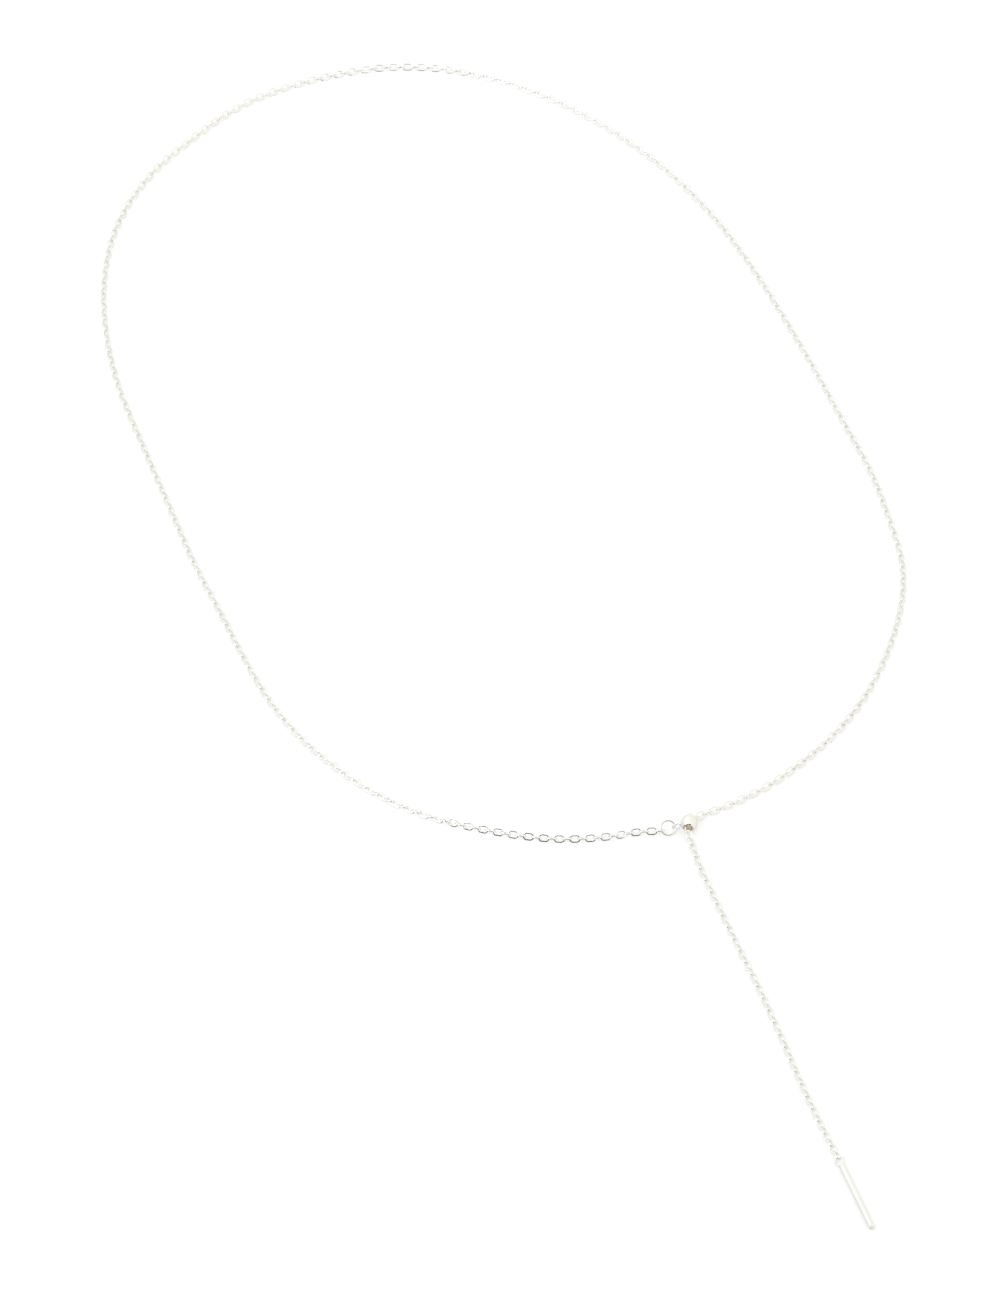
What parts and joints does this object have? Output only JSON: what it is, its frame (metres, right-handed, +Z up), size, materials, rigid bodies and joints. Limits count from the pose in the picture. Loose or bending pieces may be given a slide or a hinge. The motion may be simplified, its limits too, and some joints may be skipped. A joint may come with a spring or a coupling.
{
  "type": "y necklace",
  "caption": "Slim adjustable y necklace of flat cable chain: a slider bead closes the neck loop and a threader bar ends the drop, laid flat.",
  "frame": {"origin": "centre of the laid necklace's outer box, on the surface that it lies on", "axes": "+Z up from the surface, +Y from the drop's bar towards the back of the neck, +X to the right as seen from above with the drop towards the viewer"},
  "size_m": [0.1291, 0.296, 0.0032],
  "materials": {
    "silver_chain": "polished silver, flat diamond-cut links",
    "silver_bead": "mirror-polished silver",
    "silver_bar": "mirror-polished silver"
  },
  "bodies": {
    "root": {"neck_chain": "silver_chain", "ring_links": "silver_chain", "jump_ring": "silver_chain", "slider_bead": "silver_bead", "drop_chain": "silver_chain", "threader_bar": "silver_bar"}
  },
  "joints": []
}
